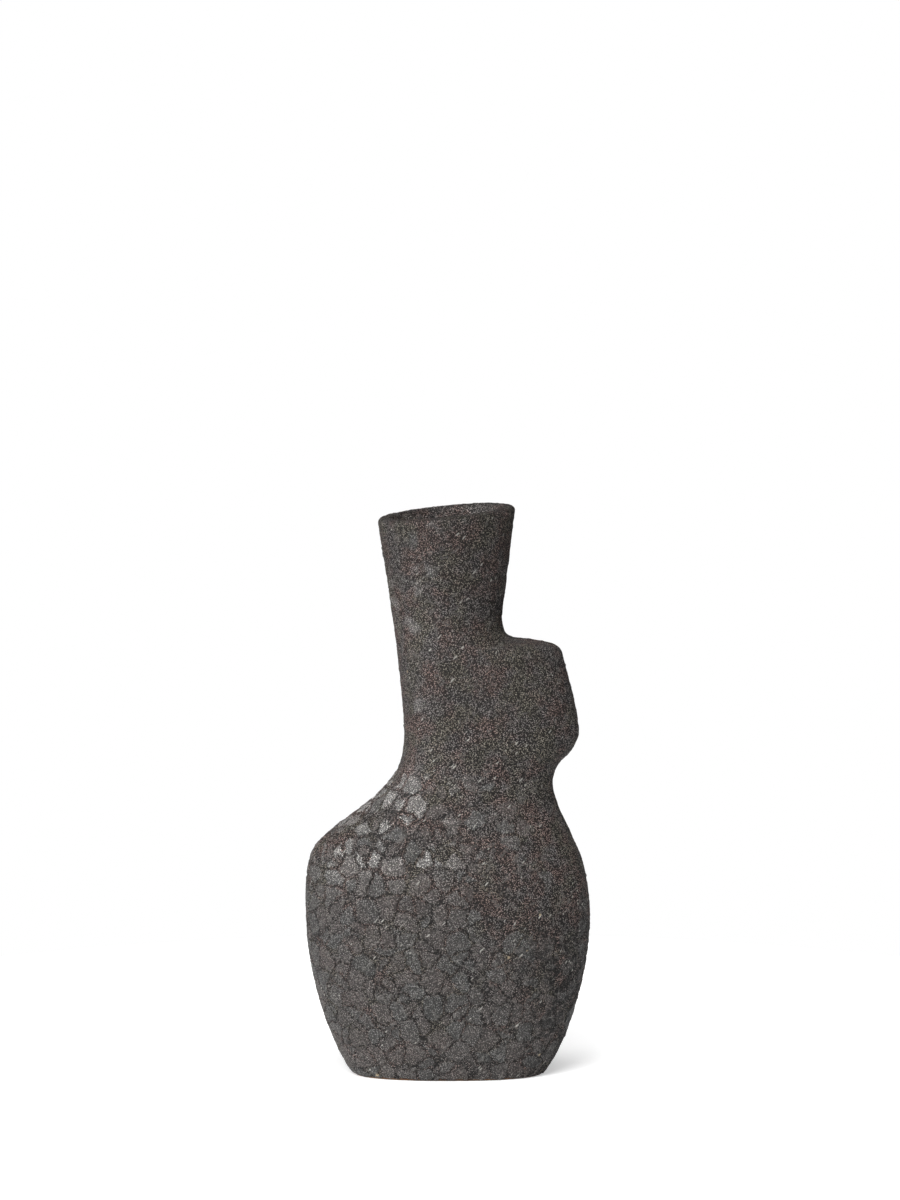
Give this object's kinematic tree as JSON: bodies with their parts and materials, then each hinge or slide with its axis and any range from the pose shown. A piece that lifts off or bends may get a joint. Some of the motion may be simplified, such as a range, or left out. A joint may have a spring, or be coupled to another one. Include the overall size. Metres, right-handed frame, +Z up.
{
  "type": "stoneware vase",
  "caption": "Hand-built stoneware vase with a flattened round belly, a lobe on one side of its waist and a flared neck with a tilted mouth, in rough volcanic glaze.",
  "frame": {"origin": "centre of the foot's underside, on the surface that the vase stands on", "axes": "+Z up through the mouth, -Y out of the front face, +X towards the side lobe"},
  "size_m": [0.1481, 0.088, 0.2975],
  "materials": {
    "bare_clay": "unglazed fired clay, fine sandy grain, small tan chips",
    "clay_body": "unglazed fired clay under the glaze",
    "volcanic_glaze": "rough matt volcanic glaze, fine grit with crackled smoother plates",
    "liner_glaze": "dark satin liner glaze"
  },
  "bodies": {
    "root": {"foot_slab": "bare_clay", "belly_wall": "clay_body", "shoulder_wall": "clay_body", "lobe_wall": "clay_body", "neck_wall": "clay_body", "outer_glaze": "volcanic_glaze", "inner_glaze": "liner_glaze"}
  },
  "joints": []
}
